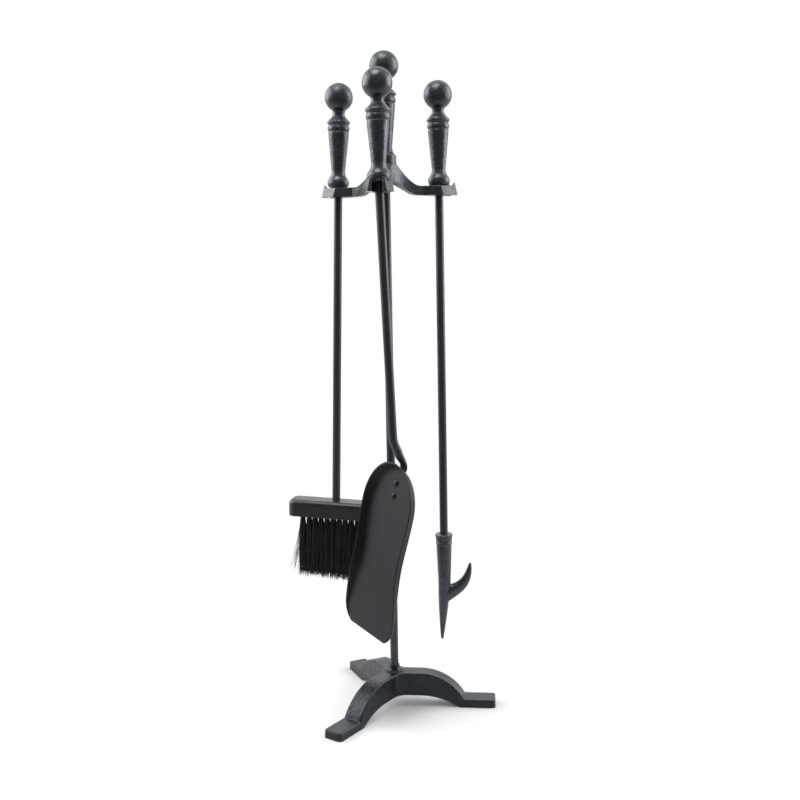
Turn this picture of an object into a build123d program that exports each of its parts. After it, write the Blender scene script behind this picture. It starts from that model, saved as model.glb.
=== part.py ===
from build123d import *
from math import asin, cos, hypot, radians, sin, tan
import os

# Fireplace tool set: a tripod stand with a three-armed hanger, from which a hearth brush,
# an ash shovel and a poker hang by their handles. Millimetres, +Z up, the floor at Z = 0,
# one foot of the tripod along +X. The solids are drawn about the axis of the post; the set is
# moved last, so that the origin is under the middle of all that hangs and stands.
POST_AT = (5.6, 3.9)

# How far a cut, or the root of a boss, runs on past the face it starts from
PAST = 1.0

# Round bar, used for the post and for every tool
ROD_R = 4.75
BORE_R = 4.8
THREAD_R = 3.0
TAPPED_R = 3.05
CLEAR_R = 3.25
THREAD_DEPTH = 20.0

# Tripod base; outline points of a leg are (reach, height)
LEG_ANGLES = (0.0, 120.0, 240.0)
LEG_REACH = 118.3
LEG_WIDTH = 24.0
LEG_DRAFT = 2.5
LEG_BLANK = 1.2
LEG_EDGE_R = 1.4
SIDE_SLOPE = 0.2
BASE_HUB_R = 28.0
BASE_TOP = 39.2
LEG_FLAT_TO = 32.2
LEG_SHOULDER = (62.3, 30.0)
ARCH_TOP = 13.4
ARCH_FLAT_TO = 33.0
ARCH_BEND = (55.6, 9.8)
HEEL_LENGTH = 5.6
PAD_THICKNESS = 9.3
PAD_LENGTH = 36.2
PAD_CORNER_R = 4.0
LEG_CROTCH_R = 15.0
BOSS_FOOT_R = 13.0
BOSS_FOOT_WAY = (-1.0, 0.1)
BOSS_TOP_R = 5.8
BOSS_HEIGHT = 8.0
SOCKET_DEPTH = 5.0

# Bolt and washers, on a spot face under the base
BOLT_SEAT = 15.8
SPOT_FACE_R = 8.0
WASHER_T = 1.6
WASHER_R = 6.2
LOCK_WASHER_R = 5.4
LOCK_SPLIT = 1.0
BOLT_HEAD_FLATS = 10.0
BOLT_HEAD_H = 4.0
THREAD_GAP = 2.0

# Hanger: hub, three arms that sweep down, and a fork with horned tines on each
FORK_ANGLES = {"shovel": -90.0, "poker": 30.0, "brush": 150.0}
FORK_REACH = 65.4
SEAT_Z = 599.2
ARM_BOTTOM = 588.9
HUB_TOP = 622.3
HUB_BOTTOM = 602.3
HUB_R = 12.5
HUB_WEB_R = 43.0
ARM_WIDTH = 10.0
ARM_UNDER_SWEEP = ((22.7, 595.2), (31.3, 590.5), (35.3, 589.3))
ARM_UNDER_FLAT_FROM = 39.4
ARM_OVER_SWEEP = ((36.8, 599.8), (32.5, 601.7), (20.7, 611.3))
ARM_OVER_FLAT_FROM = 41.4

# Fork, measured out from the seat of a tool; its tines close in towards their ends
FORK_WIDTH = 31.0
FORK_END_WIDTH = 20.4
FORK_END = 18.8
FORK_SHOULDER_FROM = -22.0
FORK_SHOULDER_TO = -2.0
TINE_DRAFT = 12.5
SLOT_WIDTH = 11.6
HORN_FOOT = 12.6
HORN_TIP = 16.4
HORN_RISE = 4.2

# Cast handle, measured up from its foot
BULGE_FOOT_R = 10.1
BULGE_R = 12.3
BULGE_Z = 5.8
SHOULDER_R = 10.4
SHOULDER_Z = 10.6
HOLLOW_R = 8.5
HOLLOW_Z = 14.0
WAIST_R = 7.8
WAIST_Z = 19.0
BODY_TOP_R = 11.8
BODY_TOP_Z = 60.9
GROOVE_R = 11.2
GROOVE_H = 1.0
RING_R = 12.5
RING_H = 7.0
FLANGE_R = 13.1
FLANGE_EDGE_R = 12.5
FLANGE_Z = 72.1
FLANGE_EDGE_H = 1.3
NECK_FOOT_R = 7.8
NECK_FOOT_Z = 78.4
NECK_R = 6.9
NECK_Z = 81.6
NECK_TOP_R = 7.6
BALL_R = 16.0
BALL_Z = 99.5
SHAFT_IN_HANDLE = 30.0

# The stand's own handle: a longer grip and neck on a plain collar
COLLAR_R = 11.9
COLLAR_H = 8.8
COLLAR_HOLLOW_R = 8.9
COLLAR_HOLLOW_Z = 12.8
STAND_RINGS_UP = 2.6
STAND_BALL_UP = 5.1

# How each tool hangs: its place along the slot, its lean from plumb, the way it leans and faces
HANG_GAP = 0.4
HANG_OUT = {"shovel": 0.0, "poker": 0.0, "brush": 1.9}
BRUSH_LEAN, BRUSH_LEAN_WAY, BRUSH_TURN = 2.3, 150.0, -6.5
SHOVEL_LEAN, SHOVEL_LEAN_WAY, SHOVEL_TURN = 0.0, 36.7, 36.7
POKER_LEAN, POKER_LEAN_WAY, POKER_TURN = 0.2, 30.0, 6.0

# Brush: block, threaded sleeve, and tufts set in a slice of the block
BLOCK_TOP = -366.6
BLOCK_LENGTH = 114.0
BLOCK_DEPTH = 28.0
BLOCK_HEIGHT = 19.8
BLOCK_CORNER_R = 9.0
BLOCK_EDGE_R = 6.0
SLEEVE_R = 7.0
SLEEVE_LENGTH = 14.0
SLEEVE_FLOOR = 2.0
SLICE_T = 4.0
SLICE_MARGIN = 4.0
TUFTS_LONG = 12
TUFTS_WIDE = 4
TUFT_PITCH_LONG = 7.5
TUFT_PITCH_WIDE = 5.8
STRAND_RINGS = ((3, 0.9), (6, 2.1))
STRAND_R = 0.6
STRAND_LENGTH = 72.4
STRAND_ROOT = 1.5
STRAND_RAGGED = 2.5
STRAND_WEAR = 0.04
TUFT_TURN = 15.0
TUFT_SPREAD = 1.4
BRUSH_FAN = 0.98

# Shovel shaft: leans from under the handle, cranks back behind the pan, and is drawn out
# into a flat tang
SHAFT_BEND_Z = -3.0
SHAFT_LEAN = 2.4
CRANK_Z = -275.7
CRANK_R = 26.0
ELBOW_LEAD = 5.6
ELBOW_BEHIND = 2.6
NECK_LENGTH = 16.0
NECK_MIDDLE = (5.3, 4.2)
NECK_ELBOW = (6.4, 3.0)
TANG_FROM = 4.0
TANG_LENGTH = 42.0
TANG_WIDTH = 14.0
TANG_T = 4.0
TANG_EDGE_R = 1.2

# Shovel pan: where its floor begins, how it is turned, and its plan from back end to lip
PAN_BACK_X = 20.2
PAN_BACK_Z = -307.7
PAN_TILT = 12.6
PAN_ROLL = -2.75
PAN_SHEET = 1.8
PAN_DEPTH = 10.1
PAN_LENGTH = 184.0
PAN_BACK_R = 44.4
PAN_BACK_FLARE = 6.2
PAN_WAIST_AT = 106.8
PAN_FLARE_AT = 162.8
PAN_FLOOR_HALF = (44.4, 41.3, 48.9)
PAN_RIM_HALF = (50.4, 46.3, 57.4)
PAN_LIP_HALF = 36.6
PAN_FLARE_WAY = (0.1, 1.0)
PAN_FULL_DEPTH_TO = 119.0
RIVET_AT = (16.0, 30.0)
RIVET_R = 2.6
RIVET_HEAD_R = 4.6
RIVET_HEAD_H = 2.6
RIVET_TAIL_R = 4.2
RIVET_TAIL_H = 1.6

# Poker tip, measured down from the rim of its socket
POKER_SOCKET_TOP = -403.8
POKER_SOCKET_DEPTH = 26.8
POKER_RIM_R = 10.3
POKER_RIM_EDGE = 0.9
POKER_COLLAR_R = 9.3
POKER_COLLAR_H = 8.0
POKER_GROOVE_R = 8.5
POKER_RING_R = 9.5
POKER_RING_H = 2.4
POKER_RING_GAP = 1.4
POKER_NECK_R = 9.1
POKER_BODY_R = 7.4
POKER_BODY_END = -58.0
POKER_POINT = -128.0
POKER_POINT_SHIFT = -3.6
POKER_POINT_MID_R = 5.3
POKER_POINT_R = 1.6

# Sections of the poker's hook: reach, height, half height, half thickness, slope of the hook there
POKER_HOOK = (
    (0.0, -73.5, 12.5, 6.0, 12.0),
    (14.8, -67.2, 7.4, 5.4, 25.0),
    (22.6, -60.4, 6.0, 4.7, 40.0),
    (27.8, -51.0, 4.3, 3.8, 58.0),
    (30.6, -37.6, 1.5, 1.5, 80.0),
)


def revolved(outline):
    """A solid of revolution about Z from a closed outline drawn as (radius, height)."""
    return revolve(Plane.XZ * make_face(outline), Axis.Z)


def cylinder(radius, low, high):
    return Pos(0, 0, low) * Cylinder(radius, high - low, align=(Align.CENTER, Align.CENTER, Align.MIN))


def side_profile(outline, width):
    """An outline drawn as (reach, height), given a width across the XZ plane."""
    return extrude(Plane.XZ * make_face(outline), width / 2, both=True)


def handle(foot, rings_up, ball_up):
    """Turned casting: a foot, a tapering grip, a ringed collar, a neck and a ball."""
    body_top = BODY_TOP_Z + rings_up
    flange = FLANGE_Z + rings_up
    neck_foot = NECK_FOOT_Z + rings_up
    neck = NECK_Z + (rings_up + ball_up) / 2
    ball = BALL_Z + ball_up
    ball_start = ball - (BALL_R**2 - NECK_TOP_R**2) ** 0.5
    ring_foot = body_top + GROOVE_H
    ring_top = ring_foot + RING_H
    flange_low = (FLANGE_EDGE_R, flange - FLANGE_EDGE_H)
    flange_high = (FLANGE_EDGE_R, flange + FLANGE_EDGE_H)
    grip = [
        Line((WAIST_R, WAIST_Z), (BODY_TOP_R, body_top)),
        Line((BODY_TOP_R, body_top), (GROOVE_R, ring_foot)),
        ThreePointArc((GROOVE_R, ring_foot), (RING_R, ring_foot + RING_H / 2), (GROOVE_R, ring_top)),
        Line((GROOVE_R, ring_top), flange_low),
        ThreePointArc(flange_low, (FLANGE_R, flange), flange_high),
        Line(flange_high, (NECK_FOOT_R, neck_foot)),
        ThreePointArc((NECK_FOOT_R, neck_foot), (NECK_R, neck), (NECK_TOP_R, ball_start)),
        ThreePointArc((NECK_TOP_R, ball_start), (BALL_R, ball), (0, ball + BALL_R)),
        Line((0, ball + BALL_R), (0, 0)),
    ]
    return revolved(foot + grip)


def tool_handle():
    foot = [
        Line((0, 0), (BULGE_FOOT_R, 0)),
        ThreePointArc((BULGE_FOOT_R, 0), (BULGE_R, BULGE_Z), (SHOULDER_R, SHOULDER_Z)),
        ThreePointArc((SHOULDER_R, SHOULDER_Z), (HOLLOW_R, HOLLOW_Z), (WAIST_R, WAIST_Z)),
    ]
    return handle(foot, 0, 0) - cylinder(ROD_R, -PAST, SHAFT_IN_HANDLE)


def stand_handle():
    foot = [
        Line((0, 0), (COLLAR_R, 0)),
        Line((COLLAR_R, 0), (COLLAR_R, COLLAR_H)),
        ThreePointArc((COLLAR_R, COLLAR_H), (COLLAR_HOLLOW_R, COLLAR_HOLLOW_Z), (WAIST_R, WAIST_Z)),
    ]
    casting = handle(foot, STAND_RINGS_UP, STAND_BALL_UP)
    return Pos(0, 0, HUB_TOP) * (casting - cylinder(TAPPED_R, -PAST, THREAD_DEPTH))


def base_casting():
    """Three arched legs with drafted sides and flat pads, a flared boss above and a spot face below."""
    pad_start = LEG_REACH - PAD_LENGTH
    heel = pad_start - HEEL_LENGTH
    leg_outline = [
        Line((0, ARCH_TOP), (ARCH_FLAT_TO, ARCH_TOP)),
        ThreePointArc((ARCH_FLAT_TO, ARCH_TOP), ARCH_BEND, (heel, 0)),
        Line((heel, 0), (LEG_REACH, 0)),
        Line((LEG_REACH, 0), (LEG_REACH, PAD_THICKNESS)),
        Line((LEG_REACH, PAD_THICKNESS), (pad_start, PAD_THICKNESS)),
        ThreePointArc((pad_start, PAD_THICKNESS), LEG_SHOULDER, (LEG_FLAT_TO, BASE_TOP)),
        Line((LEG_FLAT_TO, BASE_TOP), (0, BASE_TOP)),
        Line((0, BASE_TOP), (0, ARCH_TOP)),
    ]
    wide_leg = side_profile(leg_outline, LEG_BLANK * LEG_WIDTH)
    blank = cylinder(BASE_HUB_R, ARCH_TOP, BASE_TOP) + [Rot(0, 0, angle) * wide_leg for angle in LEG_ANGLES]
    leg_plan = Pos(LEG_REACH / 2, 0) * Rectangle(LEG_REACH, LEG_WIDTH)
    plan = Sketch() + [Rot(0, 0, angle) * leg_plan for angle in LEG_ANGLES]
    plan = fillet(plan.vertices().filter_by(lambda v: hypot(v.X, v.Y) < LEG_WIDTH), LEG_CROTCH_R)
    plan = fillet(plan.vertices().filter_by(lambda v: hypot(v.X, v.Y) > LEG_REACH), PAD_CORNER_R)
    legs = blank & extrude(plan, BASE_TOP + PAST, taper=LEG_DRAFT)

    # The edges all round the tops of the legs are rounded over
    tops = legs.faces().filter_by(lambda face: face.normal_at().Z > SIDE_SLOPE)
    sides = legs.faces().filter_by(lambda face: abs(face.normal_at().Z) < SIDE_SLOPE).edges()
    legs = fillet(tops.edges().filter_by(lambda edge: edge in sides), LEG_EDGE_R)
    boss = revolved([
        Line((0, -PAST), (BOSS_FOOT_R, -PAST)),
        Line((BOSS_FOOT_R, -PAST), (BOSS_FOOT_R, 0)),
        TangentArc((BOSS_FOOT_R, 0), (BOSS_TOP_R, BOSS_HEIGHT), tangent=BOSS_FOOT_WAY),
        Line((BOSS_TOP_R, BOSS_HEIGHT), (0, BOSS_HEIGHT)),
        Line((0, BOSS_HEIGHT), (0, -PAST)),
    ])
    socket = cylinder(BORE_R, BASE_TOP - SOCKET_DEPTH, BASE_TOP + BOSS_HEIGHT + PAST)
    bolt_hole = cylinder(CLEAR_R, 0, BASE_TOP) + cylinder(SPOT_FACE_R, 0, BOLT_SEAT)
    return legs + Pos(0, 0, BASE_TOP) * boss - socket - bolt_hole


def post():
    bottom = BASE_TOP - SOCKET_DEPTH
    tapped_ends = cylinder(TAPPED_R, bottom - PAST, bottom + THREAD_DEPTH)
    tapped_ends += cylinder(TAPPED_R, HUB_BOTTOM - THREAD_DEPTH, HUB_BOTTOM + PAST)
    return cylinder(ROD_R, bottom, HUB_BOTTOM) - tapped_ends


def top_stud():
    reach = THREAD_DEPTH - THREAD_GAP
    return cylinder(THREAD_R, HUB_BOTTOM - reach, HUB_TOP + reach)


def base_flat_washer():
    low = BOLT_SEAT - WASHER_T
    return cylinder(WASHER_R, low, BOLT_SEAT) - cylinder(CLEAR_R, low - PAST, BOLT_SEAT + PAST)


def base_lock_washer():
    low = BOLT_SEAT - 2 * WASHER_T
    high = low + WASHER_T
    ring = cylinder(LOCK_WASHER_R, low, high) - cylinder(CLEAR_R, low - PAST, high + PAST)
    return ring - Pos(LOCK_WASHER_R, 0, low) * Box(2 * LOCK_WASHER_R, LOCK_SPLIT, 4 * WASHER_T)


def base_bolt():
    head_top = BOLT_SEAT - 2 * WASHER_T
    head = extrude(RegularPolygon(BOLT_HEAD_FLATS / 2, 6, major_radius=False), BOLT_HEAD_H)
    shank = cylinder(THREAD_R, head_top, BASE_TOP - SOCKET_DEPTH + THREAD_DEPTH - THREAD_GAP)
    return Pos(0, 0, head_top - BOLT_HEAD_H) * head + shank


def hanger():
    """Plan of arms and forks with hollow webs, cut to the height profile that sweeps down from the hub."""
    horn_foot = FORK_REACH + HORN_FOOT
    horn_tip = FORK_REACH + HORN_TIP
    fork_end = FORK_REACH + FORK_END
    horn_top = SEAT_Z + HORN_RISE
    under_mid, under_knee, under_ease = ARM_UNDER_SWEEP
    over_ease, over_knee, over_mid = ARM_OVER_SWEEP
    under_flat = (ARM_UNDER_FLAT_FROM, ARM_BOTTOM)
    over_flat = (ARM_OVER_FLAT_FROM, SEAT_Z)
    height_outline = [
        Line((0, HUB_BOTTOM), (HUB_R, HUB_BOTTOM)),
        ThreePointArc((HUB_R, HUB_BOTTOM), under_mid, under_knee),
        ThreePointArc(under_knee, under_ease, under_flat),
        Line(under_flat, (fork_end, ARM_BOTTOM)),
        Line((fork_end, ARM_BOTTOM), (horn_tip, horn_top)),
        Line((horn_tip, horn_top), (horn_foot, SEAT_Z)),
        Line((horn_foot, SEAT_Z), over_flat),
        ThreePointArc(over_flat, over_ease, over_knee),
        ThreePointArc(over_knee, over_mid, (HUB_R, HUB_TOP)),
        Line((HUB_R, HUB_TOP), (0, HUB_TOP)),
        Line((0, HUB_TOP), (0, HUB_BOTTOM)),
    ]
    half_arm = ARM_WIDTH / 2
    shoulder = Vector(FORK_REACH + FORK_SHOULDER_TO, FORK_WIDTH / 2)
    tine_end = Vector(fork_end, FORK_END_WIDTH / 2)
    tine_way = (tine_end - shoulder).normalized()
    arm_corners = [
        (0, half_arm),
        (FORK_REACH + FORK_SHOULDER_FROM, half_arm),
        (shoulder.X, shoulder.Y),
        (tine_end.X, tine_end.Y),
    ]
    mirrored = [(reach, -side) for reach, side in reversed(arm_corners)]
    arm_plan = make_face(Polyline(*arm_corners, *mirrored, close=True))
    plan = Sketch() + [Rot(0, 0, angle) * arm_plan for angle in FORK_ANGLES.values()]
    at_hub = plan.vertices().filter_by(lambda v: hypot(v.X, v.Y) < HUB_R)
    plan = fillet(at_hub, HUB_WEB_R)
    tall_plan = Pos(0, 0, ARM_BOTTOM - PAST) * extrude(plan, HUB_TOP - ARM_BOTTOM + 2 * PAST)
    casting = tall_plan & revolved(height_outline)

    # What is cut from one fork: its open slot, and the draft on the outsides of its tines
    slot = Circle(SLOT_WIDTH / 2) + Pos(FORK_END, 0) * Rectangle(2 * FORK_END, SLOT_WIDTH)
    slot_cut = Pos(FORK_REACH, 0, ARM_BOTTOM - PAST) * extrude(slot, HUB_TOP - ARM_BOTTOM)
    rise = horn_top - ARM_BOTTOM
    outside = [(FORK_WIDTH, rise), (FORK_WIDTH, 0)]
    draft = make_face(Polyline((0, 0), (-rise * tan(radians(TINE_DRAFT)), rise), *outside, close=True))
    tine_side = Vector(-tine_way.Y, tine_way.X, 0)
    along_tine = Plane(shoulder + Vector(0, 0, ARM_BOTTOM), x_dir=tine_side, z_dir=tine_way)
    draft_cut = extrude(along_tine * draft, FORK_WIDTH, both=True)
    fork_cut = slot_cut + draft_cut + mirror(draft_cut, Plane.XZ)
    for angle in FORK_ANGLES.values():
        casting -= Rot(0, 0, angle) * fork_cut
    return casting - cylinder(CLEAR_R, HUB_BOTTOM - PAST, HUB_TOP + PAST)


def hung(tool, lean, lean_way, turn):
    """Place of a tool whose local origin is the foot of its handle, with its shaft along -Z."""
    angle = radians(FORK_ANGLES[tool])
    reach = FORK_REACH + HANG_OUT[tool]
    rise = HANG_GAP + BULGE_FOOT_R * sin(radians(lean))
    seat = Pos(reach * cos(angle), reach * sin(angle), SEAT_Z + rise)
    return seat * Rot(0, 0, lean_way) * Rot(0, -lean, 0) * Rot(0, 0, turn - lean_way)


def brush_block():
    block = Pos(0, 0, BLOCK_TOP - BLOCK_HEIGHT / 2) * Box(BLOCK_LENGTH, BLOCK_DEPTH, BLOCK_HEIGHT)
    block = fillet(block.edges().filter_by(Axis.Z), BLOCK_CORNER_R)
    block = fillet(block.faces().sort_by(Axis.Z)[-1].edges(), BLOCK_EDGE_R)
    sleeve_hole = cylinder(SLEEVE_R, BLOCK_TOP - SLEEVE_LENGTH, BLOCK_TOP + PAST)
    return block - sleeve_hole - bristle_slice()


def brush_sleeve():
    low = BLOCK_TOP - SLEEVE_LENGTH
    return cylinder(SLEEVE_R, low, BLOCK_TOP) - cylinder(ROD_R, low + SLEEVE_FLOOR, BLOCK_TOP + PAST)


def bristle_slice():
    """The slice of the block that the tufts are set in."""
    length = TUFTS_LONG * TUFT_PITCH_LONG + SLICE_MARGIN
    depth = TUFTS_WIDE * TUFT_PITCH_WIDE
    return Pos(0, 0, BLOCK_TOP - BLOCK_HEIGHT + SLICE_T / 2) * Box(length, depth, SLICE_T)


def strand(root_x, root_y, lean_x, lean_y, length):
    """One three-sided bristle, from inside the slice to its free end."""
    root = Pos(root_x, root_y, BLOCK_TOP - BLOCK_HEIGHT + STRAND_ROOT) * RegularPolygon(STRAND_R, 3)
    return Solid.extrude(root.face(), Vector(lean_x, lean_y, -length))


def brush_bristles():
    """Rows of tufts; each tuft opens towards its tips while the whole brush draws in a little."""
    strands = []
    for row in range(TUFTS_WIDE):
        for column in range(TUFTS_LONG):
            tuft_x = (column - (TUFTS_LONG - 1) / 2) * TUFT_PITCH_LONG
            tuft_y = (row - (TUFTS_WIDE - 1) / 2) * TUFT_PITCH_WIDE
            for count, ring_r in STRAND_RINGS:
                for step in range(count):
                    angle = radians(360 * step / count + TUFT_TURN)
                    off_x = ring_r * cos(angle)
                    off_y = ring_r * sin(angle)
                    lean_x = (BRUSH_FAN - 1) * tuft_x + (TUFT_SPREAD - 1) * off_x
                    lean_y = (BRUSH_FAN - 1) * tuft_y + (TUFT_SPREAD - 1) * off_y
                    ragged = STRAND_RAGGED * sin(7 * column + 13 * row + 5 * step)
                    length = STRAND_ROOT + STRAND_LENGTH + ragged + STRAND_WEAR * tuft_x
                    strands.append(strand(tuft_x + off_x, tuft_y + off_y, lean_x, lean_y, length))
    return bristle_slice().fuse(*strands)


def shaft(bottom):
    return cylinder(ROD_R, bottom, SHAFT_IN_HANDLE)


# Directions of the pan in the shovel's own frame: into its hollow, and towards its lip
HOLLOW = Vector(-cos(radians(PAN_TILT)), 0, sin(radians(PAN_TILT)))
STRAIGHT = Vector(-sin(radians(PAN_TILT)), 0, -cos(radians(PAN_TILT)))
LIPWARD = STRAIGHT.rotate(Axis((0, 0, 0), HOLLOW), PAN_ROLL)
ACROSS = LIPWARD.cross(HOLLOW)
PAN_BACK = Vector(PAN_BACK_X, 0, PAN_BACK_Z)


def in_pan_frame(shape):
    """Pan frame: X across the pan, Y from its back end to its lip, Z into its hollow."""
    return Plane(origin=PAN_BACK, x_dir=ACROSS, z_dir=HOLLOW).location * shape


def rivet_holes():
    holes = [Pos(0, along, -2 * TANG_T) * cylinder(RIVET_R, 0, 4 * TANG_T) for along in RIVET_AT]
    return in_pan_frame(Part() + holes)


def shovel_shaft():
    """Round shaft with a crank, forged out beyond it into a flat tang that lies behind the pan."""
    top = Vector(0, 0, SHAFT_IN_HANDLE)
    first_bend = Vector(0, 0, SHAFT_BEND_Z)
    crank = Vector((SHAFT_BEND_Z - CRANK_Z) * tan(radians(SHAFT_LEAN)), 0, CRANK_Z)
    elbow = PAN_BACK - HOLLOW * ELBOW_BEHIND - LIPWARD * ELBOW_LEAD
    crank_way = (elbow - crank).normalized()
    path = FilletPolyline(top, first_bend, crank, elbow - crank_way * NECK_LENGTH, radius=CRANK_R)
    rod = sweep(Plane(top, z_dir=(0, 0, -1)) * Circle(ROD_R), path=path)

    # The neck flattens from the round bar, round the elbow, to the tang
    tang_start = PAN_BACK - HOLLOW * (TANG_T / 2) + LIPWARD * TANG_FROM
    stations = [
        (elbow - crank_way * NECK_LENGTH, crank_way, (ROD_R, ROD_R)),
        (elbow - crank_way * (NECK_LENGTH / 2), crank_way, NECK_MIDDLE),
        (elbow, (crank_way + LIPWARD).normalized(), NECK_ELBOW),
        (tang_start, LIPWARD, (TANG_WIDTH / 2, TANG_T / 2)),
    ]
    neck = loft([Plane(at, x_dir=ACROSS, z_dir=way) * Ellipse(*half) for at, way, half in stations])
    tang_section = RectangleRounded(TANG_WIDTH, TANG_T, TANG_EDGE_R)
    tang = extrude(Plane(tang_start, x_dir=ACROSS, z_dir=LIPWARD) * tang_section, TANG_LENGTH, dir=LIPWARD)

    # Nothing of the neck or the tang stands in front of the back of the pan
    pan_side = Box(2 * PAN_BACK_R, PAN_LENGTH, 2 * PAN_DEPTH)
    pan_side = in_pan_frame(Pos(0, PAN_LENGTH / 2 - TANG_FROM, PAN_DEPTH) * pan_side)
    return rod + neck + tang - pan_side - rivet_holes()


def pan_outline(halves, back_y, level):
    """Closed face of the pan at one level: round back end, waisted sides, straight lip."""
    back_half, waist_half, flare_half = halves
    side = Spline(
        (back_half, PAN_BACK_R), (waist_half, PAN_WAIST_AT), (flare_half, PAN_FLARE_AT),
        tangents=[(0, 1), PAN_FLARE_WAY],
    )
    corner = TangentArc((flare_half, PAN_FLARE_AT), (PAN_LIP_HALF, PAN_LENGTH), tangent=PAN_FLARE_WAY)
    back = ThreePointArc((-back_half, PAN_BACK_R), (0, back_y), (back_half, PAN_BACK_R))
    lip = Line((PAN_LIP_HALF, PAN_LENGTH), (-PAN_LIP_HALF, PAN_LENGTH))
    edges = [back, side, corner, lip, mirror(corner, Plane.YZ), mirror(side, Plane.YZ)]
    return Pos(0, 0, level) * make_face(edges)


def shovel_pan():
    """Pressed sheet tray: flared walls that run out to nothing at the open lip."""
    floor = pan_outline(PAN_FLOOR_HALF, 0, 0)
    rim = pan_outline(PAN_RIM_HALF, -PAN_BACK_FLARE, PAN_DEPTH)
    tray = loft([floor, rim], ruled=True)
    hollow = Pos(0, PAN_SHEET / 2, PAN_SHEET) * tray
    past_lip = PAN_LENGTH + PAST
    run_out = Polyline(
        (PAN_FULL_DEPTH_TO, PAN_DEPTH), (PAN_LENGTH, PAN_SHEET), (past_lip, PAN_SHEET),
        (past_lip, 2 * PAN_DEPTH), (PAN_FULL_DEPTH_TO, 2 * PAN_DEPTH), close=True,
    )
    above_wall = extrude(Plane.YZ * make_face(run_out), 2 * max(PAN_RIM_HALF), both=True)
    return in_pan_frame(tray - hollow - above_wall) - rivet_holes()


def shovel_rivet(along):
    """Domed head inside the pan, shank through pan and tang, closed head behind."""
    head = PAN_SHEET + RIVET_HEAD_H
    back = -TANG_T
    tail = back - RIVET_TAIL_H
    dome_r = (RIVET_HEAD_R**2 + RIVET_HEAD_H**2) / (2 * RIVET_HEAD_H)
    dome_half = asin(RIVET_HEAD_R / dome_r) / 2
    dome_mid = (dome_r * sin(dome_half), head - dome_r * (1 - cos(dome_half)))
    outline = [
        Line((0, tail), (RIVET_TAIL_R, tail)),
        Line((RIVET_TAIL_R, tail), (RIVET_TAIL_R, back)),
        Line((RIVET_TAIL_R, back), (RIVET_R, back)),
        Line((RIVET_R, back), (RIVET_R, PAN_SHEET)),
        Line((RIVET_R, PAN_SHEET), (RIVET_HEAD_R, PAN_SHEET)),
        ThreePointArc((RIVET_HEAD_R, PAN_SHEET), dome_mid, (0, head)),
        Line((0, head), (0, tail)),
    ]
    return in_pan_frame(Pos(0, along, 0) * revolved(outline))


def poker_tip():
    """Socketed casting with a ringed mouth, a side hook and an off-centre point."""
    ring_top = POKER_COLLAR_H + POKER_RING_GAP
    ring_foot = ring_top + POKER_RING_H
    neck_top = ring_foot + POKER_RING_GAP / 2
    body = revolved(Polyline(
        (0, 0), (POKER_RIM_R - POKER_RIM_EDGE, 0), (POKER_RIM_R, -POKER_RIM_EDGE),
        (POKER_COLLAR_R, -POKER_COLLAR_H), (POKER_GROOVE_R, -POKER_COLLAR_H - POKER_RING_GAP / 2),
        (POKER_RING_R, -ring_top), (POKER_RING_R, -ring_foot), (POKER_NECK_R, -neck_top),
        (POKER_BODY_R, POKER_BODY_END), (0, POKER_BODY_END), close=True,
    ))
    middle = (POKER_BODY_END + POKER_POINT) / 2
    point = loft([
        Pos(0, 0, POKER_BODY_END) * Circle(POKER_BODY_R),
        Pos(POKER_POINT_SHIFT / 2, 0, middle) * Circle(POKER_POINT_MID_R),
        Pos(POKER_POINT_SHIFT, 0, POKER_POINT) * Circle(POKER_POINT_R),
    ])
    point += Pos(POKER_POINT_SHIFT, 0, POKER_POINT) * Sphere(POKER_POINT_R)
    sections = []
    for reach, height, half, thick, slope in POKER_HOOK:
        way = Vector(cos(radians(slope)), 0, sin(radians(slope)))
        sections.append(Plane((reach, 0, height), x_dir=(0, 1, 0), z_dir=way) * Ellipse(thick, half))
    end_reach, end_height, end_r = POKER_HOOK[-1][:3]
    hook = loft(sections) + Pos(end_reach, 0, end_height) * Sphere(end_r)
    tip = body + point + hook - cylinder(ROD_R, -POKER_SOCKET_DEPTH, PAST)
    return Pos(0, 0, POKER_SOCKET_TOP) * tip


brush = hung("brush", BRUSH_LEAN, BRUSH_LEAN_WAY, BRUSH_TURN)
shovel = hung("shovel", SHOVEL_LEAN, SHOVEL_LEAN_WAY, SHOVEL_TURN)
poker = hung("poker", POKER_LEAN, POKER_LEAN_WAY, POKER_TURN)

nodes = {
    "base_casting": base_casting(),
    "post": post(),
    "top_stud": top_stud(),
    "base_flat_washer": base_flat_washer(),
    "base_lock_washer": base_lock_washer(),
    "base_bolt": base_bolt(),
    "hanger": hanger(),
    "stand_handle": stand_handle(),
    "brush_handle": brush * tool_handle(),
    "brush_shaft": brush * shaft(BLOCK_TOP - SLEEVE_LENGTH + SLEEVE_FLOOR),
    "brush_sleeve": brush * brush_sleeve(),
    "brush_block": brush * brush_block(),
    "brush_bristles": brush * brush_bristles(),
    "shovel_handle": shovel * tool_handle(),
    "shovel_shaft": shovel * shovel_shaft(),
    "shovel_pan": shovel * shovel_pan(),
    "upper_shovel_rivet": shovel * shovel_rivet(RIVET_AT[0]),
    "lower_shovel_rivet": shovel * shovel_rivet(RIVET_AT[1]),
    "poker_handle": poker * tool_handle(),
    "poker_shaft": poker * shaft(POKER_SOCKET_TOP - POKER_SOCKET_DEPTH),
    "poker_tip": poker * poker_tip(),
}

os.makedirs("parts", exist_ok=True)
for name, solid in nodes.items():
    export_step(Pos(*POST_AT) * solid, f"parts/{name}.step")
    print(name, round(solid.volume / 1000, 2), "cm3")
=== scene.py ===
# %% [markdown]
# A fireside tool set in black iron: a tripod stand and, hung on its three forks, a hearth brush,
# an ash shovel and a poker. The solids come packed from CAD, in metres, and stay where they are.
# This lesson gives each of them its finish, grows the fibres of the brush, and sets up the floor,
# the light and the camera.

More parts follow.
